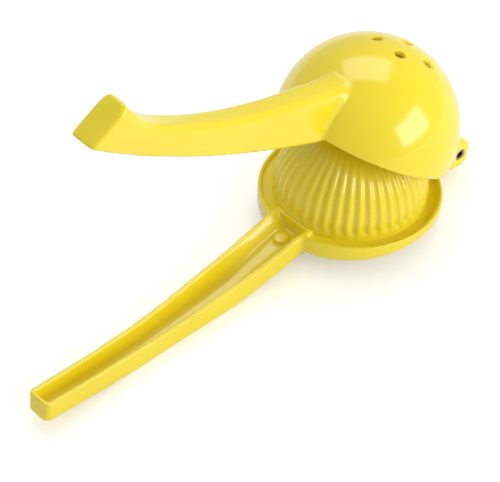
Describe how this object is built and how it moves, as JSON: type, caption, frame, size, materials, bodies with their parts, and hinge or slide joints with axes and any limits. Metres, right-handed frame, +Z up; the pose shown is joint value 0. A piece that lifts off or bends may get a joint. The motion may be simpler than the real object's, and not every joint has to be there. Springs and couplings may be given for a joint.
{
  "type": "lemon squeezer",
  "caption": "Hinged hand squeezer for citrus halves: a fluted dome in a guttered ring presses up into a perforated cup, each with a long channel handle.",
  "frame": {"origin": "on the surface that the tool lies on, straight under the hinge pin, in the middle of its width", "axes": "+X along the handles from their ends towards the hinge, +Y along the hinge pin, +Z up"},
  "size_m": [0.2206, 0.076, 0.1365],
  "materials": {
    "enamel": "glossy lemon-yellow enamel on cast aluminium",
    "pin_steel": "plain rolled spring steel"
  },
  "bodies": {
    "press": {"press_half": "enamel"},
    "cup": {"cup_half": "enamel", "hinge_pin": "pin_steel"}
  },
  "joints": [
    {"name": "hinge", "type": "hinge", "parent": "press", "child": "cup", "pos_m": [0, 0, 0.0102], "axis": [0, 1, 0], "range_deg": [-30.4, 80]}
  ]
}
